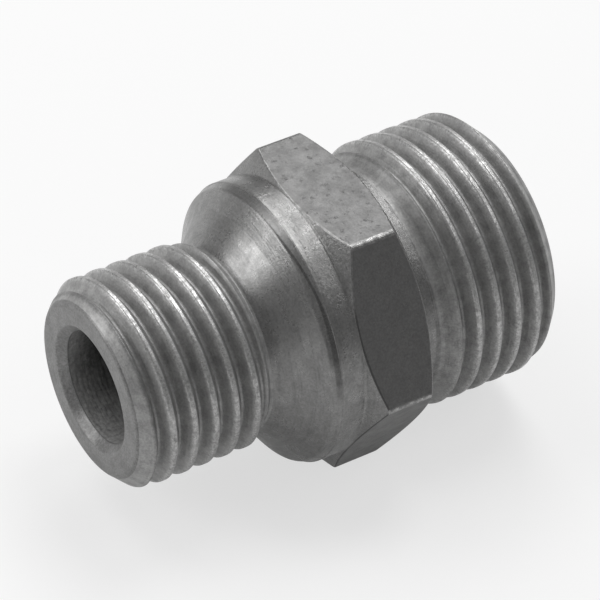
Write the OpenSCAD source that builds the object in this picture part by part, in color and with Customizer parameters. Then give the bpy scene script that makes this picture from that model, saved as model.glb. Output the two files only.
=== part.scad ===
// Reducing hexagon nipple, turned from hexagon bar: two male threads on one through bore.
// The turning axis runs along X, small end towards -X, and the part lies on a hexagon flat.

/* [Overall] */
// Length from end face to end face
overall_length = 30; // [28:0.5:36]
// Through bore diameter
bore_d = 7.5; // [5:0.1:8.5]
// Bevel at both mouths of the bore, measured on the radius
bore_bevel = 0.55; // [0.2:0.05:0.8]

/* [Hexagon] */
// Width across flats
hex_af = 19; // [19:0.1:22]
// Station of the hexagon's front, where its bevel starts
hex_front = 14.35; // [13.6:0.05:15]
// Length of the hexagon between its two faces
hex_length = 5.05; // [4.4:0.05:5.2]
// Angle of both corner bevels, from the plane across the axis
hex_bevel_angle = 30; // [20:1:35]
// Diameter of the flat rear face inside its bevel
hex_rear_face_d = 18.4; // [17.5:0.1:18.8]

/* [Collar and cove] */
// Diameter of the turned collar in front of the hexagon
collar_d = 18.9; // [17.6:0.05:18.9]
// Station where the shoulder meets the collar
shoulder_station = 12.7; // [12.6:0.05:13.2]
// Step from the shoulder up to the collar
collar_step = 0.06; // [0.04:0.01:0.2]
// Length along the axis of the narrow strip between the step and the shoulder's flank
strip_length = 0.57; // [0.4:0.01:0.8]
// Angle of the strip, from the axis
strip_angle = 20; // [14:1:28]
// Angle of the shoulder's flank, from the axis
shoulder_angle = 55; // [52:0.5:60]
// Diameter of the faint crease where the cove's flank meets the shoulder's
crease_d = 15.9; // [15:0.1:16.6]
// Angle of the cove's flank, from the axis
cove_angle = 49; // [46:0.5:51]
// Radius of the cove between neck and flank
cove_radius = 1.6; // [1.2:0.1:2]
// Diameter of the neck behind the small thread
neck_d = 11.8; // [10.6:0.1:11.9]

/* [Small thread] */
// Nominal diameter
small_thread_d = 14; // [14:0.1:14.6]
// Pitch
small_pitch = 1.5; // [1.25:0.05:1.5]
// Station where the last full crest ends
small_thread_end = 8.6; // [7:0.1:8.8]
// Diameter of the end face inside the lead-in bevel
small_face_d = 11.6; // [10.8:0.1:12.4]
// Angle about the axis at which a crest crosses the end face
small_start_angle = 104; // [0:1:360]

/* [Large thread] */
// Nominal diameter
large_thread_d = 18; // [17.6:0.1:18.6]
// Pitch
large_pitch = 1.5; // [1.25:0.05:1.5]
// Station where the first full crest starts
large_thread_start = 22.2; // [22:0.1:23.5]
// Diameter of the end face inside the lead-in bevel
large_face_d = 15.5; // [14.6:0.1:16.4]
// Diameter of the relief groove between hexagon and thread
relief_d = 15.7; // [15:0.1:15.8]
// Fillet in the corner between hexagon and relief groove
relief_fillet = 0.5; // [0.2:0.05:0.8]
// Angle about the axis at which a crest crosses the hexagon's front
large_start_angle = 241; // [0:1:360]

/* [Thread form] */
// Flank angle between two facing flanks
flank_angle = 60; // [56:1:60]
// Diameter allowance below nominal, for a free-running fit
thread_allowance = 0.15; // [0.05:0.01:0.25]
// Angle of the bevels where a thread runs in or out, from the axis
lead_angle = 45; // [40:1:50]

/* [Hidden] */
// Facets of each thread's flanks round one turn
turn_steps = 40;
// Height from crest to root as a share of the pitch
root_depth_share = 0.6134;
// Half the crest's width as a share of the pitch
crest_half_share = 1 / 16;
// How far a ridge starts below its root and ends above its crest
ridge_overlap = 0.1;
// How far cutting bodies pass the faces that they cut
cut_past = 1;

small_crest_r = (small_thread_d - thread_allowance) / 2;
large_crest_r = (large_thread_d - thread_allowance) / 2;
small_root_r = small_crest_r - root_depth_share * small_pitch;
large_root_r = large_crest_r - root_depth_share * large_pitch;
hex_rear = hex_front + hex_length;
hex_corner_r = hex_af / 2 / cos(30);
collar_r = collar_d / 2;
neck_r = neck_d / 2;
relief_r = relief_d / 2;

// Profiles are drawn as [radius, station], and turned about the axis.
// Below the collar's small step the shoulder falls along a narrow strip, along its own flank to
// the crease, then along the cove's flank, which is tangent to the cove's arc
strip_end = [collar_r - collar_step, shoulder_station];
flank_head = [strip_end[0] - strip_length * tan(strip_angle), strip_end[1] - strip_length];
crease = [crease_d / 2, flank_head[1] - (flank_head[0] - crease_d / 2) / tan(shoulder_angle)];
foot_r = neck_r + cove_radius * (1 - cos(cove_angle));
flank_foot = [foot_r, crease[1] - (crease[0] - foot_r) / tan(cove_angle)];
neck_station = flank_foot[1] - cove_radius * sin(cove_angle);

module neck_and_shoulder_profile() {
    difference() {
        union() {
            polygon([
                [0, neck_station - cut_past], [neck_r, neck_station - cut_past],
                [neck_r, neck_station], flank_foot, crease, flank_head, strip_end,
                [collar_r, shoulder_station], [collar_r, hex_front], [0, hex_front]
            ]);
            // Web that the cove's arc is cut from
            polygon([
                [neck_r, neck_station], [flank_foot[0], neck_station], flank_foot
            ]);
        }
        translate([neck_r + cove_radius, neck_station]) circle(r = cove_radius, $fn = 96);
    }
}

// Small end's core at root diameter; its bevel down to the neck is the thread's run-out too
module small_core_profile() {
    polygon([
        [0, 0], [small_face_d / 2, 0],
        [small_root_r, (small_root_r - small_face_d / 2) / tan(lead_angle)],
        [small_root_r, small_thread_end + (small_crest_r - small_root_r) / tan(lead_angle)],
        [neck_r, small_thread_end + (small_crest_r - neck_r) / tan(lead_angle)],
        [neck_r, hex_front], [0, hex_front]
    ]);
}

// Relief groove with its corner fillet, and the large end's core at root diameter
module large_core_profile() {
    ramp = (large_crest_r - relief_r) / tan(lead_angle);
    groove_end = large_thread_start - ramp;
    root_start = groove_end + (large_root_r - relief_r) / tan(lead_angle);
    root_end = overall_length - (large_root_r - large_face_d / 2) / tan(lead_angle);
    polygon([
        [0, hex_rear - cut_past], [relief_r, hex_rear - cut_past],
        [relief_r, groove_end], [large_root_r, root_start],
        [large_root_r, root_end], [large_face_d / 2, overall_length], [0, overall_length]
    ]);
    difference() {
        translate([relief_r - cut_past, hex_rear - cut_past])
            square([cut_past + relief_fillet, cut_past + relief_fillet]);
        translate([relief_r + relief_fillet, hex_rear + relief_fillet])
            circle(r = relief_fillet, $fn = 64);
    }
}

// Hexagon bar with both ends bevelled by cones, so its flats end in curved edges
module hexagon_body() {
    slope = tan(hex_bevel_angle);
    rear_r = hex_rear_face_d / 2;
    intersection() {
        translate([0, 0, hex_front - cut_past])
            rotate(30)
                cylinder(r = hex_corner_r, h = hex_length + cut_past, $fn = 6);
        rotate_extrude($fn = 180)
            polygon([
                [0, hex_front], [collar_r, hex_front],
                [hex_corner_r + cut_past, hex_front + (hex_corner_r + cut_past - collar_r) * slope],
                [hex_corner_r + cut_past, hex_rear - (hex_corner_r + cut_past - rear_r) * slope],
                [rear_r, hex_rear], [0, hex_rear]
            ]);
    }
}

// One point of a ridge: corner 0 and 3 lie at its foot, 1 and 2 at its top
function ridge_point(step, corner, crest_r, root_r, pitch, first_station, first_angle) =
    let (
        flank = tan(flank_angle / 2),
        top_r = crest_r + ridge_overlap,
        foot_r = root_r - ridge_overlap,
        r = (corner == 0 || corner == 3) ? foot_r : top_r,
        half = crest_half_share * pitch + (crest_r - r) * flank,
        side = corner < 2 ? -1 : 1,
        turn = step / turn_steps,
        a = first_angle + 360 * turn
    )
    [r * cos(a), r * sin(a), first_station + pitch * turn + side * half];

// Right-hand helical ridge of trapezoid section, closed by a flat cap at each end
module helical_ridge(crest_r, root_r, pitch, first_station, first_angle, turns) {
    last = ceil(turns * turn_steps);
    points = [
        for (step = [0:last], corner = [0:3])
            ridge_point(step, corner, crest_r, root_r, pitch, first_station, first_angle)
    ];
    sides = [
        for (step = [0:last - 1], corner = [0:3])
            let (
                a = 4 * step + corner,
                b = 4 * step + (corner + 1) % 4,
                c = b + 4,
                d = a + 4
            )
            each [[a, b, c], [a, c, d]]
    ];
    caps = [[3, 2, 1, 0], [for (corner = [0:3]) 4 * last + corner]];
    polyhedron(points = points, faces = concat(sides, caps), convexity = 12);
}

// A thread's ridge from one turn before to one turn after its station range
module thread_ridge(crest_r, root_r, pitch, from, to, station_at, angle) {
    turns_back = ceil((station_at - from) / pitch) + 1;
    turns = turns_back + (to - station_at) / pitch + 1;
    helical_ridge(crest_r, root_r, pitch, station_at - turns_back * pitch, angle, turns);
}

// Small thread, trimmed by its lead-in bevel at the face and its run-out at the neck
module small_thread() {
    face_r = small_face_d / 2;
    run_out = (small_crest_r - neck_r) / tan(lead_angle);
    intersection() {
        thread_ridge(small_crest_r, small_root_r, small_pitch, 0, small_thread_end + run_out,
            0, small_start_angle);
        rotate_extrude($fn = 180)
            polygon([
                [0, 0], [face_r, 0], [small_crest_r, (small_crest_r - face_r) / tan(lead_angle)],
                [small_crest_r, small_thread_end], [neck_r, small_thread_end + run_out],
                [0, small_thread_end + run_out]
            ]);
    }
}

// Large thread, trimmed by its run-in at the relief groove and its bevel at the face
module large_thread() {
    face_r = large_face_d / 2;
    run_in = (large_crest_r - relief_r) / tan(lead_angle);
    intersection() {
        thread_ridge(large_crest_r, large_root_r, large_pitch, large_thread_start - run_in,
            overall_length, hex_front, large_start_angle);
        rotate_extrude($fn = 180)
            polygon([
                [0, large_thread_start - run_in], [relief_r, large_thread_start - run_in],
                [large_crest_r, large_thread_start],
                [large_crest_r, overall_length - (large_crest_r - face_r) / tan(lead_angle)],
                [face_r, overall_length], [0, overall_length]
            ]);
    }
}

// Through bore with a bevel at each mouth
module bore() {
    r = bore_d / 2;
    mouth_r = r + bore_bevel + cut_past;
    rotate_extrude($fn = 180)
        polygon([
            [0, -cut_past], [mouth_r, -cut_past], [r, bore_bevel],
            [r, overall_length - bore_bevel], [mouth_r, overall_length + cut_past],
            [0, overall_length + cut_past]
        ]);
}

module hex_nipple() {
    color("dimgray")
        translate([-overall_length / 2, 0, hex_af / 2])
            rotate([0, 90, 0])
                difference() {
                    union() {
                        rotate_extrude($fn = 180) union() {
                            small_core_profile();
                            neck_and_shoulder_profile();
                            large_core_profile();
                        }
                        hexagon_body();
                        small_thread();
                        large_thread();
                    }
                    bore();
                }
}

hex_nipple();
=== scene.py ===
"""Looks of a reducing hexagon nipple: its finished surface, its steel and a plain studio.

Lengths are in millimetres and become metres in the meshes, lamps and camera. A station is a
distance along the turning axis from the small end's face. An angle runs about that axis from +Y
towards +Z, so that it grows along +X as a right-hand thread does.
"""

import logging
import math
from abc import ABC, abstractmethod
from dataclasses import dataclass
from enum import Enum
from typing import Any, Callable

import bpy
import numpy as np
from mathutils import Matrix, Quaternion, Vector

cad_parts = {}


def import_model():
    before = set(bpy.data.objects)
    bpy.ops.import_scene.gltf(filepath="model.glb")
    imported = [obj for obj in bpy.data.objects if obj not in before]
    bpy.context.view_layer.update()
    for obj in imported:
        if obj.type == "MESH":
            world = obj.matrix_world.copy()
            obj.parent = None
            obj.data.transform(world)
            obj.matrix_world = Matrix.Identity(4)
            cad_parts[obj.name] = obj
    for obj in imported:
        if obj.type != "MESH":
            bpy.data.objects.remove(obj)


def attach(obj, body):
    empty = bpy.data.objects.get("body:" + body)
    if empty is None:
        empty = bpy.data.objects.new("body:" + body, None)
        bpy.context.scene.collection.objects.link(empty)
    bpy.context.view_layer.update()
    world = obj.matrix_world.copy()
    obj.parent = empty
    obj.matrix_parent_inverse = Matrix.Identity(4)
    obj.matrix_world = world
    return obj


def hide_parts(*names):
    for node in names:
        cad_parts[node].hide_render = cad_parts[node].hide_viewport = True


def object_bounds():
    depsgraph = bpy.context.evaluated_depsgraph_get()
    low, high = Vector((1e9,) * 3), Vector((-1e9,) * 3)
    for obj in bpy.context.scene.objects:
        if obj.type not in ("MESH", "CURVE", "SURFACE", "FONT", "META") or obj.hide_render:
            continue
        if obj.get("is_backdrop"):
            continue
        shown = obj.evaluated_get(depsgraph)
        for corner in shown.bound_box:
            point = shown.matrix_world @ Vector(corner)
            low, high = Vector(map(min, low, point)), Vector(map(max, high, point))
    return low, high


MM = 0.001
NODE = "hex_nipple"
LOG = logging.getLogger("nipple")

# Rows of the grid across the cove's arc, the relief groove's fillet and a rounded edge
ARC_ROWS = 8
FILLET_ROWS = 7
EDGE_ROWS = 5
# A stretch shorter than this, in millimetres, has rows at its two ends only
SHORT_STRETCH = 0.4
# Distance in millimetres from a longer stretch's ends to the rows beside them
END_GAP = 0.06
# Points that fall in one cell of this size, in millimetres, become one
WELD_CELL = 2e-5
# Slope of the ramp up to the large thread
RAMP_ANGLE = math.radians(45.0)
# Colours: the greys of steel lie between the first two, so they are very slightly warm
BLACK = (0.0, 0.0, 0.0, 1.0)
WARM_WHITE = (1.005, 1.0, 0.99, 1.0)
WHITE = (1.0, 1.0, 1.0, 1.0)

Array = np.ndarray


class Cut(Enum):
    """How a stretch of the surface was cut; each value is its material's place on the mesh."""

    THREADED = 0
    TURNED = 1
    DRAWN = 2
    FACED = 3
    BORED = 4


def soft_min(a: Array, b: Array | float, width: float) -> Array:
    """Smaller of two values, with the corner between them rounded over a width.

    It is half of the sum less the root of the squared difference plus the squared width, so it
    never passes the smaller of the two.
    """
    return (a + b - np.sqrt((a - b) ** 2 + width**2)) / 2


def soft_max(a: Array, b: Array | float, width: float) -> Array:
    """Larger of two values, with the corner between them rounded the other way."""
    return -soft_min(-a, -b, width)


@dataclass
class Strip:
    """A stretch of surface on a grid of rows round the axis and columns along it.

    Attributes:
        cut: How it was cut.
        stations: Station of each point, rows by columns.
        radii: Distance of each point from the axis, rows by columns.
    """

    cut: Cut
    stations: Array
    radii: Array


@dataclass(frozen=True)
class Columns:
    """Angles of the grid's columns, close together at the hexagon's corners.

    Attributes:
        sectors: Corners of the hexagon.
        per_sector: Columns from one corner to the next.
        crowding: How much closer the columns are at a corner than on average, below 1.
    """

    sectors: int = 6
    per_sector: int = 36
    crowding: float = 0.86

    def angles(self) -> Array:
        """Angles in radians from 0 to a full turn.

        Within a sector the angle is its even share less a sine of it, so the spacing shrinks by
        the crowding at the corners and grows by it between them.

        Returns:
            One angle for each column, with the first repeated a turn later at the end.
        """
        share = np.linspace(0.0, self.sectors, self.sectors * self.per_sector + 1)
        pull = self.crowding * np.sin(2 * math.pi * share) / (2 * math.pi)
        return (share - pull) * 2 * math.pi / self.sectors


@dataclass(frozen=True)
class Thread:
    """Sizes of one male thread.

    Attributes:
        crest_radius: Radius over the crests.
        pitch: Distance from crest to crest.
        crest_angle: Angle in degrees at which a crest crosses the reference station.
        reference: Station of that crossing.
        depth_share: Height from root to crest as a share of the pitch.
        crest_share: Half the crest's width as a share of the pitch.
        flank_angle: Angle between two facing flanks, in degrees.
        crest_rounding: Width of the rounding at a crest's edges.
        root_rounding: Width of the rounding at the foot of each flank.
        rows_per_turn: Rows of the grid across one pitch.
        crowding: How much closer the rows are at a crest than on average, below 1.
    """

    crest_radius: float
    pitch: float
    crest_angle: float
    reference: float
    depth_share: float = 0.6134
    crest_share: float = 1 / 10
    flank_angle: float = 60.0
    crest_rounding: float = 0.02
    root_rounding: float = 0.1
    rows_per_turn: int = 18
    crowding: float = 0.55

    def root_radius(self) -> float:
        """Radius at the foot of the flanks."""
        return self.crest_radius - self.depth_share * self.pitch

    def ridge(self, stations: Array, angles: Array) -> Array:
        """Radius of the bare thread at each point.

        The distance to the nearest crest line, measured along the axis, is found first. Past the
        crest's flat top the radius falls with the slope of a flank, until it reaches the root.

        Args:
            stations: Stations of the points.
            angles: Angles of the points, in radians.

        Returns:
            Radii of the points.
        """
        turn = (angles - math.radians(self.crest_angle)) / (2 * math.pi)
        phase = (stations - self.reference) / self.pitch - turn
        from_crest = np.abs(phase - np.round(phase)) * self.pitch
        slope = 1 / math.tan(math.radians(self.flank_angle / 2))
        past_top = from_crest - self.crest_share * self.pitch
        flank = self.crest_radius - past_top * slope
        ridge = soft_min(flank, self.crest_radius, self.crest_rounding)
        return soft_max(ridge, self.root_radius(), self.root_rounding)

    def rows(self, angles: Array, low: float, high: float) -> Array:
        """Stations of a grid whose rows run along the helix and stop at two stations.

        Rows are spaced evenly within a pitch, pulled towards the crest by a sine, and each
        advances by a pitch a turn. What would lie past either end is brought back to it.

        Args:
            angles: Angles of the columns, in radians.
            low: First station.
            high: Last station.

        Returns:
            Stations, rows by columns.
        """
        first = math.floor((low - self.reference) / self.pitch) - 2
        last = math.ceil((high - self.reference) / self.pitch) + 2
        share = np.linspace(first, last, (last - first) * self.rows_per_turn + 1)
        crowded = share - self.crowding * np.sin(2 * math.pi * share) / (2 * math.pi)
        turn = (angles - math.radians(self.crest_angle)) / (2 * math.pi)
        stations = self.reference + self.pitch * (crowded[:, None] + turn[None, :])
        return np.clip(stations, low, high)


@dataclass(frozen=True)
class Corner:
    """A point of a turned profile, and how much of it a tool or wear has rounded off.

    Attributes:
        station: Stations of the corner, one number or one for each column.
        radius: Radii of the corner, one number or one for each column.
        trim: Length that the rounding takes from each side.
        cut: How the stretch after the corner was cut.
    """

    station: Array | float
    radius: Array | float
    trim: float = 0.0
    cut: Cut = Cut.TURNED


@dataclass(frozen=True)
class Edges:
    """How far the tool and wear have rounded the edges.

    Attributes:
        thread: Where a bevel, a ramp or a run-out cuts a thread.
        face: Between an end face and its bevel.
        crease: The crease between the shoulder's flank and the cove's.
        head: Where the shoulder's flank meets the strip.
        step_foot: Foot of the collar's small step.
        step_top: Top of that step.
        bevel: Where the hexagon's bevels meet the collar and the rear face.
        flat: Where they meet the hexagon's flats.
        corner: How far the hexagon's corners are worn back.
        corner_width: Width of the worn corners' rounding.
        mouth: Between an end face and the bore's bevel.
        bore: Between that bevel and the bore.
    """

    thread: float = 0.06
    face: float = 0.13
    crease: float = 0.08
    head: float = 0.12
    step_foot: float = 0.01
    step_top: float = 0.02
    bevel: float = 0.1
    flat: float = 0.07
    corner: float = 0.05
    corner_width: float = 0.02
    mouth: float = 0.08
    bore: float = 0.05


@dataclass(frozen=True)
class Nipple:
    """The nipple as the part's source has it, with its edges as use has left them.

    Attributes:
        overall_length: Length from end face to end face.
        bore_radius: Radius of the through bore.
        bore_bevel: Bevel at both mouths of the bore.
        hex_flats: Width across the hexagon's flats.
        hex_front: Station where the hexagon's front bevel starts.
        hex_length: Length of the hexagon between its two faces.
        hex_bevel_angle: Angle of both bevels, in degrees from the plane across the axis.
        hex_rear_radius: Radius of the flat rear face inside its bevel.
        collar_radius: Radius of the turned collar.
        shoulder_station: Station where the shoulder meets the collar.
        collar_step: Step from the shoulder up to the collar.
        step_run: Half the length of that step along the axis.
        strip_length: Length of the narrow strip between the step and the shoulder's flank.
        strip_angle: Angle of the strip, in degrees from the axis.
        shoulder_angle: Angle of the shoulder's flank, in degrees from the axis.
        crease_radius: Radius of the crease between the shoulder's flank and the cove's.
        cove_angle: Angle of the cove's flank, in degrees from the axis.
        cove_radius: Radius of the cove's arc.
        neck_radius: Radius of the neck behind the small thread.
        small_thread_end: Station where the small thread's last full crest ends.
        small_face_radius: Radius of the small end's face inside its bevel.
        large_thread_start: Station where the large thread's first full crest starts.
        large_face_radius: Radius of the large end's face inside its bevel.
        relief_radius: Radius of the relief groove behind the hexagon.
        relief_fillet: Fillet in the corner between hexagon and relief groove.
        ramp_fillet: Fillet between the relief groove and the ramp up to the large thread.
        edges: How far the edges are rounded.
        small: The small thread.
        large: The large thread.
        columns: Columns of the grid.
    """

    overall_length: float = 30.0
    bore_radius: float = 3.75
    bore_bevel: float = 0.55
    hex_flats: float = 19.0
    hex_front: float = 14.35
    hex_length: float = 5.05
    hex_bevel_angle: float = 30.0
    hex_rear_radius: float = 9.2
    collar_radius: float = 9.45
    shoulder_station: float = 12.7
    collar_step: float = 0.06
    step_run: float = 0.02
    strip_length: float = 0.57
    strip_angle: float = 20.0
    shoulder_angle: float = 55.0
    crease_radius: float = 7.95
    cove_angle: float = 49.0
    cove_radius: float = 1.6
    neck_radius: float = 5.9
    small_thread_end: float = 8.6
    small_face_radius: float = 5.8
    large_thread_start: float = 22.2
    large_face_radius: float = 7.75
    relief_radius: float = 7.85
    relief_fillet: float = 0.5
    ramp_fillet: float = 1.0
    edges: Edges = Edges()
    small: Thread = Thread(crest_radius=6.925, pitch=1.5, crest_angle=24.0, reference=0.0)
    large: Thread = Thread(crest_radius=8.925, pitch=1.5, crest_angle=161.0, reference=hex_front)
    columns: Columns = Columns()

    def shoulder_head(self) -> tuple[float, float]:
        """Station and radius where the shoulder's flank meets the strip."""
        fall = self.collar_step + self.strip_length * math.tan(math.radians(self.strip_angle))
        return self.shoulder_station - self.strip_length, self.collar_radius - fall

    def crease_station(self) -> float:
        """Station of the crease between the two flanks."""
        station, radius = self.shoulder_head()
        return station - (radius - self.crease_radius) / math.tan(math.radians(self.shoulder_angle))

    def cove_foot(self) -> tuple[float, float]:
        """Where the cove's arc meets its flank.

        Returns:
            Station and radius.
        """
        turn = math.radians(self.cove_angle)
        radius = self.neck_radius + self.cove_radius * (1 - math.cos(turn))
        return self.crease_station() - (self.crease_radius - radius) / math.tan(turn), radius

    def cove(self, stations: Array) -> Array:
        """Radius of the neck and of the cove's arc.

        The arc's centre lies outside the metal, its radius above the neck, so the surface is
        that height less the arc's half chord.

        Args:
            stations: Stations of the points, up to the arc's end.

        Returns:
            Radii of the points.
        """
        station, _ = self.cove_foot()
        start = station - self.cove_radius * math.sin(math.radians(self.cove_angle))
        run = np.clip(stations - start, 0.0, self.cove_radius)
        return self.neck_radius + self.cove_radius - np.sqrt(self.cove_radius**2 - run**2)

    def run_out_end(self) -> float:
        """Station where the small thread's run-out at 45 degrees reaches the neck."""
        return self.small_thread_end + self.small.crest_radius - self.neck_radius

    def cut_thread(self, thread: Thread, ends: tuple[float, float],
                   cones: tuple[Callable[[Array], Array], ...]) -> Strip:
        """Thread that cones cut down, softly except in the rows at its two ends.

        Args:
            thread: The thread.
            ends: Stations where the strip starts and ends.
            cones: Radius of each cone as a function of the stations.

        Returns:
            The strip.
        """
        angles = self.columns.angles()
        stations = thread.rows(angles, *ends)
        sharp = soft = thread.ridge(stations, angles[None, :])
        for cone in cones:
            limit = cone(stations)
            sharp = np.minimum(sharp, limit)
            soft = soft_min(soft, limit, self.edges.thread)
        at_ends = (stations <= ends[0]) | (stations >= ends[1])
        return Strip(Cut.THREADED, stations, np.where(at_ends, sharp, soft))

    def small_thread(self) -> Strip:
        """Small thread from its lead-in bevel to where its run-out has sunk in the cove.

        Where the cove stands higher than the thread that the cones have left, it shows.

        Returns:
            The strip.
        """
        def bevel(stations: Array) -> Array:
            """Radius of the lead-in bevel."""
            return self.small_face_radius + stations

        def run_out(stations: Array) -> Array:
            """Radius of the run-out."""
            return self.small.crest_radius - (stations - self.small_thread_end)

        ends = (self.edges.face, self.run_out_end())
        strip = self.cut_thread(self.small, ends, (bevel, run_out))
        in_cove = strip.stations > self.small_thread_end
        higher = np.maximum(strip.radii, self.cove(strip.stations))
        return Strip(strip.cut, strip.stations, np.where(in_cove, higher, strip.radii))

    def ramp_start(self) -> float:
        """Station where the fillet of the ramp up to the large thread starts."""
        foot = self.large_thread_start - (self.large.crest_radius - self.relief_radius)
        return foot - self.ramp_fillet * math.tan(RAMP_ANGLE / 2)

    def ramp(self, stations: Array) -> Array:
        """Radius of the fillet and of the ramp at 45 degrees.

        The fillet is an arc tangent to the groove, and from its end on the radius grows as the
        station does.

        Args:
            stations: Stations of the points, from the fillet's start on.

        Returns:
            Radii of the points.
        """
        run = stations - self.ramp_start()
        on_arc = np.minimum(run, self.ramp_fillet * math.sin(RAMP_ANGLE))
        arc = self.ramp_fillet - np.sqrt(self.ramp_fillet**2 - on_arc**2)
        return self.relief_radius + arc + (run - on_arc)

    def large_thread(self) -> Strip:
        """Large thread from the relief groove's ramp to its lead-in bevel.

        Returns:
            The strip.
        """
        def bevel(stations: Array) -> Array:
            """Radius of the lead-in bevel."""
            return self.large_face_radius + (self.overall_length - stations)

        ends = (self.ramp_start(), self.overall_length - self.edges.face)
        return self.cut_thread(self.large, ends, (self.ramp, bevel))

    def corner_radius(self) -> float:
        """Radius of the hexagon's worn corners."""
        return self.hex_flats / 2 / math.cos(math.pi / 6) - self.edges.corner

    def hexagon_radius(self) -> Array:
        """Radius of the bar at each column.

        A flat's radius is half the width across flats over the cosine of the angle from the
        flat's middle. A round of the worn corners' radius cuts it.

        Returns:
            One radius for each column.
        """
        sector = math.pi / 3
        from_middle = np.mod(self.columns.angles(), sector) - sector / 2
        flat = self.hex_flats / 2 / np.cos(from_middle)
        return soft_min(flat, self.corner_radius(), self.edges.corner_width)

    def middle(self) -> list[Corner]:
        """Corners of the profile from the cove to the relief groove.

        Returns:
            Corners in order along the axis.
        """
        edges = self.edges
        bar = self.hexagon_radius()
        slope = math.tan(math.radians(self.hex_bevel_angle))
        rear = self.hex_front + self.hex_length
        step = self.shoulder_station
        arc_end, arc_radius = self.cove_foot()
        arc = np.linspace(self.run_out_end(), arc_end, ARC_ROWS)
        fillet = np.radians(np.linspace(90.0, 0.0, FILLET_ROWS))
        fillet_stations = rear + self.relief_fillet * (1 - np.sin(fillet))
        fillet_radii = self.relief_radius + self.relief_fillet * (1 - np.cos(fillet))
        return [
            *[Corner(s, self.cove(s)) for s in arc[:-1]],
            Corner(arc_end, arc_radius),
            Corner(self.crease_station(), self.crease_radius, edges.crease),
            Corner(*self.shoulder_head(), edges.head),
            Corner(step - self.step_run, self.collar_radius - self.collar_step, edges.step_foot),
            Corner(step + self.step_run, self.collar_radius, edges.step_top),
            Corner(self.hex_front, self.collar_radius, edges.bevel),
            Corner(self.hex_front + (bar - self.collar_radius) * slope, bar, edges.flat, Cut.DRAWN),
            Corner(rear - (bar - self.hex_rear_radius) * slope, bar, edges.flat),
            Corner(rear, self.hex_rear_radius, edges.bevel),
            *[Corner(s, r) for s, r in zip(fillet_stations, fillet_radii)],
            Corner(self.ramp_start(), self.relief_radius),
        ]

    def mouths(self) -> list[Corner]:
        """Corners of the profile from the large thread through the bore to the small thread.

        Returns:
            Corners in order, back along the bore.
        """
        edges = self.edges
        end = self.overall_length
        mouth = self.bore_radius + self.bore_bevel
        return [
            Corner(end - edges.face, self.large_face_radius + edges.face, 0.0, Cut.FACED),
            Corner(end, self.large_face_radius, edges.face, Cut.FACED),
            Corner(end, mouth, edges.mouth, Cut.FACED),
            Corner(end - self.bore_bevel, self.bore_radius, edges.bore, Cut.BORED),
            Corner(self.bore_bevel, self.bore_radius, edges.bore, Cut.FACED),
            Corner(0.0, mouth, edges.mouth, Cut.FACED),
            Corner(0.0, self.small_face_radius, edges.face, Cut.FACED),
            Corner(edges.face, self.small_face_radius + edges.face),
        ]

    def surface(self) -> tuple[Array, list[Strip]]:
        """Whole surface as strips on one set of columns.

        Returns:
            Angles of the columns in radians, and the strips.
        """
        angles = self.columns.angles()
        strips = [self.small_thread(), *turned(self.middle(), angles),
                  self.large_thread(), *turned(self.mouths(), angles)]
        return angles, strips

    def points_and_faces(self) -> tuple[Array, Array, Array]:
        """Points, four-cornered faces and cut of each face, with nothing welded yet.

        A point lies at its station along X, and its radius times the angle's cosine and sine gives
        Y and the height above the axis, which is half the hexagon's width above the floor.

        Returns:
            Points in millimetres, faces as rows of four indices, and the cuts' numbers.
        """
        angles, strips = self.surface()
        points, faces, cuts = [], [], []
        offset = 0
        for strip in strips:
            rows, columns = strip.stations.shape
            x = strip.stations - self.overall_length / 2
            y = strip.radii * np.cos(angles)
            z = strip.radii * np.sin(angles) + self.hex_flats / 2
            points.append(np.stack([x, y, z], axis=-1).reshape(-1, 3))
            index = np.arange(rows * columns).reshape(rows, columns) + offset
            quads = np.stack([index[:-1, :-1], index[:-1, 1:], index[1:, 1:], index[1:, :-1]], -1)
            faces.append(quads.reshape(-1, 4))
            cuts.append(np.full(quads.shape[0] * quads.shape[1], strip.cut.value))
            offset += rows * columns
        return np.concatenate(points), np.concatenate(faces), np.concatenate(cuts)

    def welded(self) -> tuple[Array, list[list[int]], list[int]]:
        """Closed surface: points that coincide are one, and faces without area are gone.

        Returns:
            Points in millimetres, faces as lists of indices, and the cuts' numbers.
        """
        points, faces, cuts = self.points_and_faces()
        cells = np.round(points / WELD_CELL).astype(np.int64)
        _, first, same = np.unique(cells, axis=0, return_index=True, return_inverse=True)
        quads = same.reshape(-1)[faces]
        repeats = quads == np.roll(quads, -1, axis=1)
        crossed = (quads[:, 0] == quads[:, 2]) | (quads[:, 1] == quads[:, 3])
        whole = (repeats.sum(axis=1) == 0) & ~crossed
        three = (repeats.sum(axis=1) == 1) & ~crossed
        triangles = quads[three][~repeats[three]].reshape(-1, 3)
        faces_out = quads[whole].tolist() + triangles.tolist()
        return points[first], faces_out, cuts[whole].tolist() + cuts[three].tolist()

    def build(self, finishes: dict[Cut, bpy.types.Material]) -> bpy.types.Object:
        """Smooth mesh object of the whole surface, with one material for each cut.

        Args:
            finishes: Material of each cut.

        Returns:
            The object, at the origin and unturned.
        """
        points, faces, cuts = self.welded()
        mesh = bpy.data.meshes.new("nipple_body")
        mesh.from_pydata((points * MM).tolist(), [], faces)
        for cut in Cut:
            mesh.materials.append(finishes[cut])
        mesh.polygons.foreach_set("material_index", np.array(cuts, dtype=np.int32))
        mesh.polygons.foreach_set("use_smooth", np.ones(len(faces), dtype=bool))
        mesh.validate()
        mesh.update()
        return linked("nipple_body", mesh)


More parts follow.
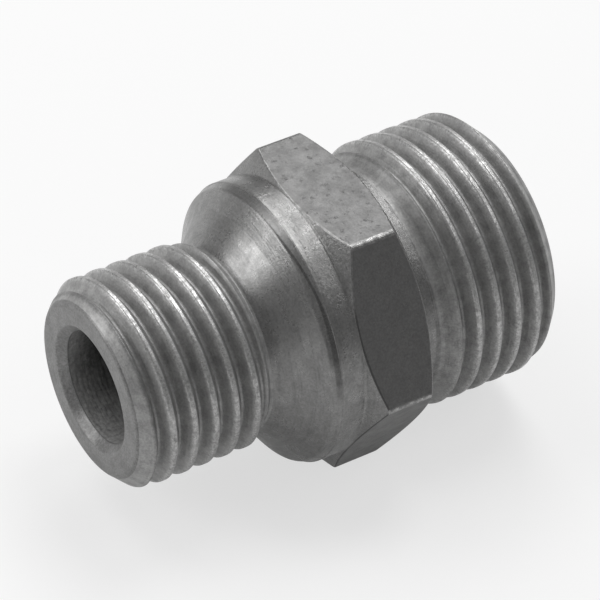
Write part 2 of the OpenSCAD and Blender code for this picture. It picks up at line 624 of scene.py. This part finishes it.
def turned(corners: list[Corner], angles: Array) -> list[Strip]:
    """Strips that follow a profile through its corners, with the trimmed ones rounded.

    A trimmed corner becomes a parabola between the points at its trim's distance on either
    side. A pair of rows close to each end of a straight stretch keeps its shading straight.

    Args:
        corners: Corners of the profile, in order.
        angles: Angles of the columns, in radians.

    Returns:
        One strip for each stretch and each rounding.
    """
    points = [np.stack(np.broadcast_arrays(c.station, c.radius, angles)[:2]) for c in corners]
    heads = list(points)
    tails = list(points)
    for i in range(1, len(points) - 1):
        if corners[i].trim > 0:
            heads[i] = towards(points[i], points[i - 1], corners[i].trim)
            tails[i] = towards(points[i], points[i + 1], corners[i].trim)
    strips = []
    for i in range(len(points) - 1):
        strips.append(stretch(corners[i].cut, tails[i], heads[i + 1]))
        if corners[i + 1].trim > 0 and i + 2 < len(points):
            strips.append(rounding(corners[i + 1], heads[i + 1], points[i + 1], tails[i + 1]))
    return strips


def towards(point: Array, other: Array, distance: float) -> Array:
    """Point at a distance from one point towards another, at most halfway, in each column."""
    step = other - point
    return point + step * np.minimum(distance / np.linalg.norm(step, axis=0), 0.5)


def stretch(cut: Cut, start: Array, end: Array) -> Strip:
    """Straight stretch of a profile, with rows close to both of its ends.

    Args:
        cut: How it was cut.
        start: Stations and radii of its start.
        end: Stations and radii of its end.

    Returns:
        The strip.
    """
    length = float(np.linalg.norm(end - start, axis=0).mean())
    shares = [0.0, 1.0]
    if length >= SHORT_STRETCH:
        near = END_GAP / length
        shares = [0.0, near, 0.5, 1 - near, 1.0]
    rows = start[:, None, :] + (end - start)[:, None, :] * np.array(shares)[None, :, None]
    return Strip(cut, rows[0], rows[1])


def rounding(corner: Corner, start: Array, point: Array, end: Array) -> Strip:
    """Rounded corner as a parabola from start to end that leans towards the point.

    Args:
        corner: The corner.
        start: Stations and radii where the rounding starts.
        point: Stations and radii of the corner itself.
        end: Stations and radii where the rounding ends.

    Returns:
        The strip.
    """
    t = np.linspace(0.0, 1.0, EDGE_ROWS)[None, :, None]
    rows = ((1 - t) ** 2 * start[:, None, :] + 2 * t * (1 - t) * point[:, None, :]
            + t**2 * end[:, None, :])
    return Strip(corner.cut, rows[0], rows[1])


def linked(name: str, data: bpy.types.ID) -> bpy.types.Object:
    """New object of the scene.

    Args:
        name: Its name.
        data: Mesh, lamp or camera that it shows.

    Returns:
        The object, at the origin and unturned.
    """
    item = bpy.data.objects.new(name, data)
    bpy.context.scene.collection.objects.link(item)
    return item


class Signal:
    """A socket of a shader, on which Python's operators build Math nodes."""

    def __init__(self, tree: "Tree", socket: bpy.types.NodeSocket) -> None:
        """Keeps the tree and the socket."""
        self.tree = tree
        self.socket = socket

    def beside(self, output: Any) -> "Signal":
        """Another output of the same node, by name or number."""
        return Signal(self.tree, self.socket.node.outputs[output])

    def math(self, operation: str, *others: "Signal | float", clamp: bool = False) -> "Signal":
        """Math node with this signal as its first operand."""
        return self.tree.math(operation, self, *others, clamp=clamp)

    def __add__(self, other: "Signal | float") -> "Signal":
        """Sum."""
        return self.math("ADD", other)

    __radd__ = __add__

    def __sub__(self, other: "Signal | float") -> "Signal":
        """Difference."""
        return self.math("SUBTRACT", other)

    def __rsub__(self, other: float) -> "Signal":
        """Difference from a number."""
        return self.tree.math("SUBTRACT", other, self)

    def __mul__(self, other: "Signal | float") -> "Signal":
        """Product."""
        return self.math("MULTIPLY", other)

    __rmul__ = __mul__

    def __truediv__(self, other: "Signal | float") -> "Signal":
        """Quotient."""
        return self.math("DIVIDE", other)

    def __rtruediv__(self, other: float) -> "Signal":
        """Quotient of a number."""
        return self.tree.math("DIVIDE", other, self)

    def clamped(self) -> "Signal":
        """Value held between 0 and 1."""
        return self.math("ADD", 0.0, clamp=True)

    def blend(self, other: "Signal | float", share: "Signal") -> "Signal":
        """Value between this one at a share of 0 and another at a share of 1."""
        return self + share * (other - self)

    def ramp(self, low: float, high: float) -> "Signal":
        """Smooth step from 0 at low to 1 at high.

        Args:
            low: Value at which the step starts.
            high: Value at which it ends.

        Returns:
            The step.
        """
        settings = {"interpolation_type": "SMOOTHSTEP", "clamp": True}
        inputs = {0: self, 1: low, 2: high, 3: 0.0, 4: 1.0}
        return self.tree.node("ShaderNodeMapRange", settings, inputs)


class Tree:
    """Node tree of a new material."""

    def __init__(self, name: str) -> None:
        """Starts an empty material.

        Args:
            name: The material's name.
        """
        self.material = bpy.data.materials.new(name)
        self.material.use_nodes = True
        self.nodes = self.material.node_tree.nodes
        self.links = self.material.node_tree.links
        self.nodes.clear()

    def node(self, kind: str, settings: dict[str, Any], inputs: dict[Any, Any],
             output: Any = 0) -> Signal:
        """Any node, with its settings made first and its sockets filled or linked after.

        Args:
            kind: The node's type.
            settings: Properties of the node by name.
            inputs: Values or signals by socket name or number.
            output: Name or number of the output that is returned.

        Returns:
            That output.
        """
        node = self.nodes.new(kind)
        for name, value in settings.items():
            setattr(node, name, value)
        for key, value in inputs.items():
            if isinstance(value, Signal):
                self.links.new(value.socket, node.inputs[key])
            else:
                node.inputs[key].default_value = value
        return Signal(self, node.outputs[output])

    def math(self, operation: str, *operands: Signal | float, clamp: bool = False) -> Signal:
        """Math node on operands in order, held between 0 and 1 if it clamps."""
        settings = {"operation": operation, "use_clamp": clamp}
        return self.node("ShaderNodeMath", settings, dict(enumerate(operands)))

    def vector(self, x: Any, y: Any, z: Any) -> Signal:
        """Vector of three signals or numbers."""
        return self.node("ShaderNodeCombineXYZ", {}, {0: x, 1: y, 2: z})

    def noise(self, place: Signal, scale: float, detail: float, roughness: float) -> Signal:
        """Noise between 0 and 1 at a place, from its cells per unit, octaves and roughness."""
        inputs = {"Vector": place, "Scale": scale, "Detail": detail, "Roughness": roughness}
        return self.node("ShaderNodeTexNoise", {}, inputs, "Fac")

    def finished(self, shader: Signal) -> bpy.types.Material:
        """Links a shader to the output.

        Args:
            shader: The shader.

        Returns:
            The material.
        """
        out = self.nodes.new("ShaderNodeOutputMaterial")
        self.links.new(shader.socket, out.inputs["Surface"])
        return self.material


@dataclass(frozen=True)
class Spots:
    """Spots where a noise that fills the space round the nipple is high.

    Attributes:
        scale: Cells per millimetre.
        detail: Octaves of the noise.
        roughness: Share of the finer octaves.
        low: Noise at which a spot starts.
        high: Noise at which it is full.
    """

    scale: float
    detail: float
    roughness: float
    low: float
    high: float


@dataclass(frozen=True)
class Place:
    """Where a point of the nipple lies, in millimetres, read in a shader.

    Attributes:
        tree: The material's tree.
        nipple: The nipple.
        position: Position with its origin on the axis, halfway along the nipple.
        y: Distance to the side of the axis.
        z: Height above the axis.
        station: Station.
        radius: Distance from the axis.
        angle: Angle about the axis, in radians.
    """

    tree: Tree
    nipple: Nipple
    position: Signal
    y: Signal
    z: Signal
    station: Signal
    radius: Signal
    angle: Signal

    @classmethod
    def of(cls, tree: Tree, nipple: Nipple) -> "Place":
        """Reads it from the object's coordinates.

        Args:
            tree: The material's tree.
            nipple: The nipple.

        Returns:
            The place.
        """
        metres = tree.node("ShaderNodeTexCoord", {}, {}, "Object")
        lift = (0.0, 0.0, nipple.hex_flats / 2)
        inputs = {0: metres, "Scale": 1 / MM}
        scaled = tree.node("ShaderNodeVectorMath", {"operation": "SCALE"}, inputs)
        inputs = {0: scaled, 1: lift}
        position = tree.node("ShaderNodeVectorMath", {"operation": "SUBTRACT"}, inputs)
        parts = tree.node("ShaderNodeSeparateXYZ", {}, {0: position}, 0)
        y, z = parts.beside(1), parts.beside(2)
        radius = (y * y + z * z).math("SQRT")
        station = parts + nipple.overall_length / 2
        return cls(tree, nipple, position, y, z, station, radius, z.math("ARCTAN2", y))

    def noise(self, scale: float, detail: float, roughness: float = 0.5) -> Signal:
        """Noise between 0 and 1 that fills the space round the nipple."""
        return self.tree.noise(self.position, scale, detail, roughness)

    def spots(self, kind: Spots) -> Signal:
        """Spots of one kind, 0 outside them and 1 where they are full."""
        return self.noise(kind.scale, kind.detail, kind.roughness).ramp(kind.low, kind.high)


@dataclass(frozen=True)
class Marks:
    """What use and the cut have left at each point of a surface, with painted shade and painted
    highlight.

    Attributes:
        dirt: How far dirt and painted shade darken it, from 0 to 1.
        height: Height in millimetres.
        wear: How far wear and painted highlight brighten it, from 0 to 1, or None where nothing
            brightens it.
    """

    dirt: Signal
    height: Signal
    wear: Signal | None = None


@dataclass(frozen=True)
class Steel(ABC):
    """Dull steel with what all its cuts share.

    Part of it reflects as a metal and the rest scatters as its thin grey skin does.

    Attributes:
        name: Name of the material.
        level: Grey of the plain metal.
        metallic: Share that reflects as a metal.
        roughness: Roughness of the plain metal.
        mottling: How dirty its blotches are.
        dark: Grey of the dirtiest spots and of the deepest painted shade.
        bright: Grey of metal that is rubbed bright, and of painted highlights.
        rubbed_metallic: How much more of it reflects as a metal where it is rubbed bright.
        blotches: Cloudy blotches of dirt.
        spread: How much the blotches and grains change the roughness.
        smoothing: How much less rough it is where it is rubbed bright.
        grain_scale: Grains per millimetre.
        grain_contrast: How much the grains change the grey.
        grain_height: Height of the grains, in millimetres.
    """

    name: str
    level: float
    metallic: float
    roughness: float
    mottling: float
    dark: float = 0.08
    bright: float = 0.5
    rubbed_metallic: float = 0.35
    blotches: Spots = Spots(1.1, 5.0, 0.68, 0.3, 0.72)
    spread: float = 0.1
    smoothing: float = 0.2
    grain_scale: float = 7.0
    grain_contrast: float = 0.9
    grain_height: float = 0.009

    def material(self, nipple: Nipple) -> bpy.types.Material:
        """Makes the material.

        The grey runs from the plain metal's to that of dirt and painted shade, then to that of
        bright metal and painted highlight, and the grain scales it. Wear also smooths the metal.

        Args:
            nipple: The nipple that it covers.

        Returns:
            The material.
        """
        tree = Tree(self.name)
        place = Place.of(tree, nipple)
        grain = place.noise(self.grain_scale, 3.0, 0.6)
        blotches = place.spots(self.blotches)
        marks = self.marks(place)
        # Dirt and painted shade darken the grey; wear and painted highlight brighten it
        dirt = (blotches * self.mottling + marks.dirt).clamped()
        level = self.level - dirt * (self.level - self.dark)
        rough = self.roughness + self.spread * (blotches + grain - 1.0)
        metallic: Signal | float = self.metallic
        if marks.wear is not None:
            level = level.blend(self.bright, marks.wear)
            rough = rough - marks.wear * self.smoothing
            metallic = (marks.wear * self.rubbed_metallic + self.metallic).clamped()
        grained = grain * self.grain_contrast + (1 - self.grain_contrast / 2)
        value = (level * grained).clamped()
        height = marks.height + grain * self.grain_height
        bump = {"Strength": 1.0, "Distance": MM, "Height": height}
        greys = {0: value, 6: BLACK, 7: WARM_WHITE}
        inputs = {
            "Base Color": tree.node("ShaderNodeMix", {"data_type": "RGBA"}, greys, 2),
            "Metallic": metallic,
            "Roughness": rough.clamped(),
            "Normal": tree.node("ShaderNodeBump", {}, bump),
        }
        return tree.finished(tree.node("ShaderNodeBsdfPrincipled", {}, inputs))

    @abstractmethod
    def marks(self, place: Place) -> Marks:
        """What its own cut and use leave.

        Args:
            place: Where each point lies.

        Returns:
            The marks.
        """


@dataclass(frozen=True)
class TurnedSteel(Steel):
    """Steel off the lathe, with fine rings round the axis.

    Attributes:
        ring_scale: Rings per millimetre.
        ring_slant: How much a millimetre outwards counts against one along the axis.
        ring_stretch: How much a millimetre round the axis counts against one along it.
        ring_dirt: How dirty the rings are.
        ring_height: Height of the rings, in millimetres.
    """

    mottling: float = 0.28
    ring_scale: float = 5.0
    ring_slant: float = 0.73
    ring_stretch: float = 0.12
    ring_dirt: float = 0.3
    ring_height: float = 0.012

    def marks(self, place: Place) -> Marks:
        """Rings: noise that changes fast along the axis and outwards, and slowly round it.

        Args:
            place: Where each point lies.

        Returns:
            The marks.
        """
        along = place.station + place.radius * self.ring_slant
        y, z = place.y * self.ring_stretch, place.z * self.ring_stretch
        rings = place.tree.noise(place.tree.vector(along, y, z), self.ring_scale, 3.0, 0.65)
        return Marks(rings.ramp(0.45, 0.8) * self.ring_dirt, rings * self.ring_height)


@dataclass(frozen=True)
class ShoulderSteel(TurnedSteel):
    """Steel of the cove and collar, with a line of painted shade along the collar's small step.

    Attributes:
        line_width: Width of the line where it is narrow, in millimetres.
        line_growth: How much wider it is towards -Y, in millimetres.
        line_shift: How far it lies before the step where it starts, in millimetres.
        line_darkening: How dark the painted shade line is.
        torn_scale: Bumps per millimetre where the tool tore the collar and the groove.
        torn_height: Height of those bumps, in millimetres.
        torn_fade: Distance past the step over which they grow to that height, in millimetres.
    """

    name: str = "shoulder_steel"
    level: float = 0.255
    metallic: float = 0.72
    roughness: float = 0.31
    line_width: float = 0.13
    line_growth: float = 0.2
    line_shift: float = 0.5
    line_darkening: float = 0.6
    torn_scale: float = 4.0
    torn_height: float = 0.03
    torn_fade: float = 0.4

    def marks(self, place: Place) -> Marks:
        """Rings, a torn surface past the step, and a line of painted shade along the step.

        The line starts at the top, runs towards the step and widens on the way to -Y, and fades
        out there.

        Args:
            place: Where each point lies.

        Returns:
            The marks.
        """
        rings = super().marks(place)
        step = place.nipple.shoulder_station
        side = 0.0 - place.y / place.radius
        rise = place.z / place.radius
        width = side.ramp(0.6, 0.95) * self.line_growth + self.line_width
        shift = side.ramp(0.95, 0.1) * self.line_shift
        before = (step - shift - place.station) / width
        across = before.ramp(1.3, 0.8) * before.ramp(-0.3, 0.1)
        # Painted shade: a dark line along the step, only on the upper side towards -Y
        line = across * side.ramp(0.0, 0.2) * rise.ramp(0.1, 0.3)
        past_step = place.station.ramp(step, step + self.torn_fade)
        torn = place.noise(self.torn_scale, 4.0, 0.7) * past_step
        # The rings darken as dirt; the line adds painted shade
        dirt = rings.dirt + line * self.line_darkening
        return Marks(dirt, rings.height + torn * self.torn_height)


@dataclass(frozen=True)
class ThreadedSteel(Steel):
    """Steel of the threads, with fine lines along the helix, painted shade behind the crests and
    crests rubbed bright in spots.

    Attributes:
        root_dirt_and_shade: How dark the painted shade and dirt behind each crest are, down the back
            flank to the root.
        crest_wear: Distance from its middle that a crest's wear reaches, in millimetres.
        crest_shift: How far that middle lies before the crest's, in millimetres.
        crest_depth: Depth under the crest that its wear reaches, in millimetres.
        bright_spots: Where the crests are rubbed most.
        even_wear: Wear between the bright spots.
        spot_wear: How much more worn the bright spots are.
        lines: How many fine lines cross one pitch, about.
        line_drift: How much a millimetre across the axis changes the lines.
        line_slip: How much a millimetre along it does.
        line_darkening: How dirty the lines are.
        line_height: Height of the lines, in millimetres.
    """

    name: str = "threaded_steel"
    level: float = 0.39
    metallic: float = 0.4
    roughness: float = 0.44
    mottling: float = 0.4
    root_dirt_and_shade: float = 0.38
    crest_wear: float = 0.27
    crest_shift: float = 0.08
    crest_depth: float = 0.4
    bright_spots: Spots = Spots(3.5, 4.0, 0.7, 0.36, 0.62)
    even_wear: float = 0.05
    spot_wear: float = 0.75
    lines: float = 14.0
    line_drift: float = 0.15
    line_slip: float = 0.1
    line_darkening: float = 0.25
    line_height: float = 0.014

    def phase(self, place: Place, thread: Thread) -> Signal:
        """Pitches from a crest line: the station's share of a pitch less the angle's of a turn."""
        turn = (place.angle - math.radians(thread.crest_angle)) * (1 / (2 * math.pi))
        return (place.station - thread.reference) * (1 / thread.pitch) - turn

    def marks(self, place: Place) -> Marks:
        """Lines along the helix, painted shade with some dirt behind each crest, and spots of wear
        on it.

        The lines are a noise on a circle that is run round once a pitch, so they close from one
        pitch to the next.

        Args:
            place: Where each point lies.

        Returns:
            The marks.
        """
        nipple = place.nipple
        large = place.station.ramp(nipple.hex_front, nipple.hex_front + nipple.hex_length)
        phase = self.phase(place, nipple.small).blend(self.phase(place, nipple.large), large)
        offset = (phase - phase.math("ROUND")) * nipple.small.pitch
        turn = phase * (2 * math.pi)
        reach = self.lines / (2 * math.pi)
        drift = place.y * self.line_drift + place.station * self.line_slip
        circle = place.tree.vector(turn.math("COSINE") * reach, turn.math("SINE") * reach, drift)
        inputs = {"Vector": circle, "W": place.z * self.line_drift, "Scale": 1.0, "Detail": 3.0}
        lines = place.tree.node("ShaderNodeTexNoise", {"noise_dimensions": "4D"}, inputs, "Fac")
        spots = place.spots(self.bright_spots)
        small_depth = nipple.small.crest_radius - place.radius
        depth = small_depth.blend(nipple.large.crest_radius - place.radius, large)
        from_middle = (offset + self.crest_shift).math("ABSOLUTE")
        near = from_middle.ramp(self.crest_wear, self.crest_wear / 3)
        near = near * depth.ramp(self.crest_depth, self.crest_depth / 4)
        # Painted shade with some dirt: darker behind each crest, over the back flank and root
        behind = offset.ramp(0.1, 0.3) * offset.ramp(0.75, 0.45)
        dirt = lines.ramp(0.5, 0.8) * self.line_darkening + behind * self.root_dirt_and_shade
        wear = near * (spots * self.spot_wear + self.even_wear)
        return Marks(dirt, lines * self.line_height, wear)


@dataclass(frozen=True)
class DrawnSteel(Steel):
    """Skin of the drawn bar, with a few pits, wear and painted highlights along its corners and
    arcs, and painted shadow on the lower arcs.

    Attributes:
        pits: Where the pits are.
        pit_dirt: How dirty the pits are.
        pit_depth: Depth of the pits, in millimetres.
        edge_wear_and_sheen: Distance from the corners where their wear and painted highlight start,
            in millimetres.
        edge_full: Distance from them where it is full, in millimetres.
        arc_width: Width of the arcs at the front of the flats, worn with a painted highlight above
            and with painted shadow below, in millimetres.
        arc_wear_and_sheen: How bright the upper arcs' wear and painted highlight are against the
            corners'.
        bright_spots: Where the edges are rubbed most.
        even_wear: Wear between the bright spots.
        spot_wear: How much more worn the bright spots are.
    """

    name: str = "drawn_steel"
    level: float = 0.163
    metallic: float = 0.6
    roughness: float = 0.42
    mottling: float = 0.3
    bright: float = 0.42
    grain_contrast: float = 0.75
    grain_height: float = 0.012
    pits: Spots = Spots(2.5, 4.0, 0.7, 0.58, 0.74)
    pit_dirt: float = 0.35
    pit_depth: float = 0.012
    edge_wear_and_sheen: float = 0.1
    edge_full: float = 0.03
    arc_width: float = 0.12
    arc_wear_and_sheen: float = 0.6
    bright_spots: Spots = Spots(2.5, 3.0, 0.6, 0.35, 0.6)
    even_wear: float = 0.2
    spot_wear: float = 0.6

    def marks(self, place: Place) -> Marks:
        """Pits where a noise is high, and wear with a painted highlight near the hexagon's corners
        and front arcs.

        The corners are worn and carry a painted highlight on the side of -Y only. Along the arcs the
        upper flats are worn with a painted highlight and the lower ones carry a painted shadow.

        Args:
            place: Where each point lies.

        Returns:
            The marks.
        """
        nipple = place.nipple
        pits = place.spots(self.pits)
        corner = nipple.corner_radius()
        spots = place.spots(self.bright_spots)
        slope = math.tan(math.radians(nipple.hex_bevel_angle))
        cone = (place.radius - nipple.collar_radius) * slope + nipple.hex_front
        arc = (place.station - cone).ramp(self.arc_width, self.arc_width / 3)
        # Upper flats get the arcs' wear and painted highlight; lower flats get their painted shadow
        upper = (place.z / place.radius).ramp(0.55, 0.75)
        # Painted highlight: the corners' wear only on the side of -Y
        side = (place.y / place.radius).ramp(0.4, 0.0)
        edges = place.radius.ramp(corner - self.edge_wear_and_sheen, corner - self.edge_full) * side
        edges = edges.math("MAXIMUM", arc * upper * self.arc_wear_and_sheen)
        # Painted shadow along the lower arcs; the pits are dirt
        dirt = pits * self.pit_dirt + arc * (1.0 - upper)
        # Wear with painted highlight on the corners and upper arcs
        wear = edges * (spots * self.spot_wear + self.even_wear)
        return Marks(dirt, 0.0 - pits * self.pit_depth, wear)


@dataclass(frozen=True)
class FacedSteel(TurnedSteel):
    """Steel of both end faces and of the bore's mouths, duller than the rest."""

    name: str = "faced_steel"
    level: float = 0.235
    metallic: float = 0.55
    roughness: float = 0.42
    grain_contrast: float = 1.4


@dataclass(frozen=True)
class BoredSteel(TurnedSteel):
    """Steel of the bore, with the ridges that the tool left and painted shade that grows away from
    its mouths.

    Attributes:
        inner_shade: How dark the painted shade is well inside.
        low_share: Share of that painted shade that is left out along the bore's underside, which is
            painted lighter.
        unshaded_mouth: Distance from a mouth where the painted shade starts to grow, in millimetres.
        shade_depth: Distance from it where it is full, in millimetres.
        feed: Distance from ridge to ridge, in millimetres.
        feed_wobble: How far the ridges stray, in radians of their sine.
        feed_height: Height of the ridges, in millimetres.
    """

    name: str = "bored_steel"
    level: float = 0.46
    metallic: float = 0.3
    roughness: float = 0.5
    grain_scale: float = 4.0
    grain_contrast: float = 1.5
    inner_shade: float = 0.9
    low_share: float = 0.7
    unshaded_mouth: float = 0.2
    shade_depth: float = 3.0
    feed: float = 0.32
    feed_wobble: float = 9.0
    feed_height: float = 0.003

    def marks(self, place: Place) -> Marks:
        """Rings, the tool's ridges as a sine along the axis, and painted shade that grows inwards
        and is lighter along the underside.

        Args:
            place: Where each point lies.

        Returns:
            The marks.
        """
        rings = super().marks(place)
        wobble = place.noise(1.2, 2.0)
        turn = place.station * (2 * math.pi / self.feed)
        ridges = (turn + wobble * self.feed_wobble).math("SINE")
        depth = place.station.math("MINIMUM", place.nipple.overall_length - place.station)
        # Painted light and shade: the bore darkens inwards, and its underside is painted lighter
        # where light falls in
        lit_underside = (0.0 - place.z / place.radius).ramp(0.3, 0.9) * self.low_share
        painted_shade = depth.ramp(self.unshaded_mouth, self.shade_depth) * self.inner_shade
        dirt = rings.dirt + painted_shade * (1.0 - lit_underside)
        return Marks(dirt, rings.height + ridges * self.feed_height)


def direction(azimuth: float, elevation: float) -> Vector:
    """Unit vector from an angle round from +X to +Y and one above the horizon, in degrees."""
    turn, rise = math.radians(azimuth), math.radians(elevation)
    return Vector((math.cos(turn) * math.cos(rise), math.sin(turn) * math.cos(rise), math.sin(rise)))


@dataclass(frozen=True)
class Lamp:
    """A square soft lamp that faces the nipple.

    Attributes:
        name: Name of the lamp.
        azimuth: Direction from the nipple in degrees, from +X towards +Y.
        elevation: Height above the horizon in degrees.
        radiance: Brightness of its face, where 1 is white.
        side: Length of its side in metres.
        distance: Distance in metres.
    """

    name: str
    azimuth: float
    elevation: float
    radiance: float
    side: float = 0.2
    distance: float = 0.5

    def build(self, target: Vector) -> None:
        """Makes the lamp, whose power is its radiance times its area times pi.

        Args:
            target: Point that it faces.
        """
        data = bpy.data.lights.new(self.name, "AREA")
        data.shape = "SQUARE"
        data.size = self.side
        data.energy = self.radiance * self.side**2 * math.pi
        away = direction(self.azimuth, self.elevation)
        lamp = linked(self.name, data)
        lamp.location = target + away * self.distance
        lamp.rotation_euler = away.to_track_quat("Z", "Y").to_euler()


@dataclass(frozen=True)
class Studio:
    """Plain pale floor, soft lamps, an even world and the camera at the photograph's angle.

    Attributes:
        floor_side: Side of the floor in metres.
        floor_level: Grey of the floor.
        camera_glow: Share of plain white that the camera sees in the floor.
        metal_glow: Share of plain white that the metal reflects from the floor.
        world_level: Brightness of the world all round.
        lamps: The lamps.
        azimuth: The camera's direction from the nipple in degrees, from +X towards +Y.
        elevation: The camera's height above the horizon in degrees.
        roll: The camera's turn about its own line of sight, in degrees.
        distance: The camera's distance in millimetres.
        aim: Point that it looks at, in millimetres.
        lens: Focal length, in millimetres.
        sensor: Width of the sensor, in millimetres.
        reach: Nearest and farthest distance that the camera sees, in metres.
    """

    floor_side: float = 6.0
    floor_level: float = 0.9
    camera_glow: float = 0.65
    metal_glow: float = 0.25
    world_level: float = 0.215
    lamps: tuple[Lamp, ...] = (
        Lamp("key_above", 25.0, 70.0, 5.7),
        Lamp("rim_behind", 60.0, 45.0, 4.8),
        Lamp("fill_behind", 120.0, 60.0, 3.0),
        Lamp("fill_left", 150.0, 26.0, 4.4, side=0.24),
        Lamp("fill_right", 330.0, 50.0, 1.7),
    )
    azimuth: float = -124.69
    elevation: float = 41.89
    roll: float = 3.66
    distance: float = 224.33
    aim: tuple[float, float, float] = (0.58, 0.19, 10.05)
    lens: float = 210.45
    sensor: float = 36.0
    reach: tuple[float, float] = (0.01, 20.0)

    def floor(self) -> bpy.types.Object:
        """Flat pale floor at the height of the nipple's underside.

        Returns:
            The floor.
        """
        half = self.floor_side / 2
        mesh = bpy.data.meshes.new("floor")
        square = [(-half, -half, 0), (half, -half, 0), (half, half, 0), (-half, half, 0)]
        mesh.from_pydata(square, [], [(0, 1, 2, 3)])
        mesh.materials.append(self.paper())
        return linked("floor", mesh)

    def paper(self) -> bpy.types.Material:
        """Pale paper. What the camera or the metal sees of it is part plain white.

        Returns:
            The material.
        """
        tree = Tree("pale_floor")
        level = (self.floor_level, self.floor_level, self.floor_level, 1.0)
        paper = tree.node("ShaderNodeBsdfDiffuse", {}, {"Color": level})
        glow = tree.node("ShaderNodeEmission", {}, {"Color": WHITE, "Strength": 1.0})
        path = tree.node("ShaderNodeLightPath", {}, {}, "Is Camera Ray")
        share = path * self.camera_glow + path.beside("Is Glossy Ray") * self.metal_glow
        return tree.finished(tree.node("ShaderNodeMixShader", {}, {0: share, 1: paper, 2: glow}))

    def world(self) -> None:
        """Even world of one grey."""
        world = bpy.data.worlds.new("studio")
        world.use_nodes = True
        background = world.node_tree.nodes["Background"]
        background.inputs["Color"].default_value = WHITE
        background.inputs["Strength"].default_value = self.world_level
        bpy.context.scene.world = world

    def camera(self) -> None:
        """Camera at the photograph's angle."""
        data = bpy.data.cameras.new("camera")
        data.lens = self.lens
        data.sensor_width = self.sensor
        data.clip_start, data.clip_end = self.reach
        back = direction(self.azimuth, self.elevation)
        camera = linked("camera", data)
        camera.location = Vector(self.aim) * MM + back * self.distance * MM
        level = (-back).to_track_quat("-Z", "Y")
        camera.rotation_mode = "QUATERNION"
        camera.rotation_quaternion = level @ Quaternion((0.0, 0.0, 1.0), math.radians(self.roll))
        bpy.context.scene.camera = camera

    def build(self) -> None:
        """Makes the whole studio."""
        bpy.context.scene.view_settings.view_transform = "Standard"
        self.floor()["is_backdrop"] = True
        self.world()
        for lamp in self.lamps:
            lamp.build(Vector(self.aim) * MM)
        self.camera()


def finishes_of(nipple: Nipple) -> dict[Cut, bpy.types.Material]:
    """Material of each cut.

    Args:
        nipple: The nipple.

    Returns:
        The materials.
    """
    steels = {
        Cut.THREADED: ThreadedSteel(),
        Cut.TURNED: ShoulderSteel(),
        Cut.DRAWN: DrawnSteel(),
        Cut.FACED: FacedSteel(),
        Cut.BORED: BoredSteel(),
    }
    return {cut: steel.material(nipple) for cut, steel in steels.items()}


def corners(box: tuple[Vector, Vector]) -> list[list[float]]:
    """Lowest and highest corner of a box as plain lists."""
    return [[float(value) for value in corner] for corner in box]


def main() -> None:
    """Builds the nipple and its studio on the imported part's frame."""
    logging.basicConfig(level=logging.INFO, format="%(message)s")
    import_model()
    cad_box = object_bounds()
    nipple = Nipple()
    body = nipple.build(finishes_of(nipple))
    counts = (len(body.data.vertices), len(body.data.polygons))
    LOG.info("%s has %d points and %d faces", body.name, *counts)
    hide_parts(NODE)
    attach(body, "root")
    Studio().build()
    {"cad": corners(cad_box), "visual": corners(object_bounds())}


if __name__ == "__main__":
    main()
